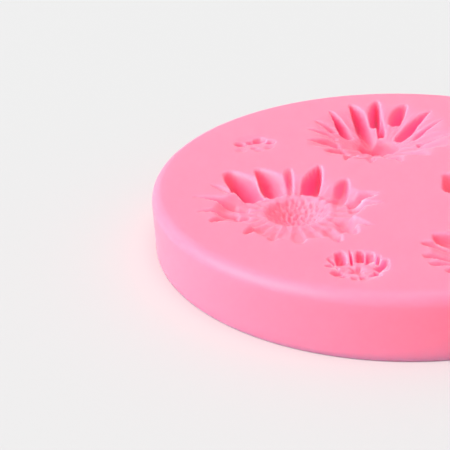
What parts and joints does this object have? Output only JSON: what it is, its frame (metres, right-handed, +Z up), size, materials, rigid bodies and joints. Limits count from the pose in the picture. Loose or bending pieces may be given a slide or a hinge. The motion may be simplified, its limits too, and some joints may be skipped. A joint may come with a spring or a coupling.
{
  "type": "silicone soap mould",
  "caption": "Round flat silicone mould with gerbera, chrysanthemum, lily and small blossom cavities in its top face.",
  "frame": {"origin": "centre of the flat base face, on the surface that the mould stands on", "axes": "+Z up through the disc, out of the face with the cavities; +Y from the front rim towards the chrysanthemum cavity; +X towards the lily cavity"},
  "size_m": [0.08, 0.08, 0.0102],
  "materials": {
    "silicone": "satin translucent silicone"
  },
  "bodies": {
    "root": {"mould_body": "silicone"}
  },
  "joints": []
}
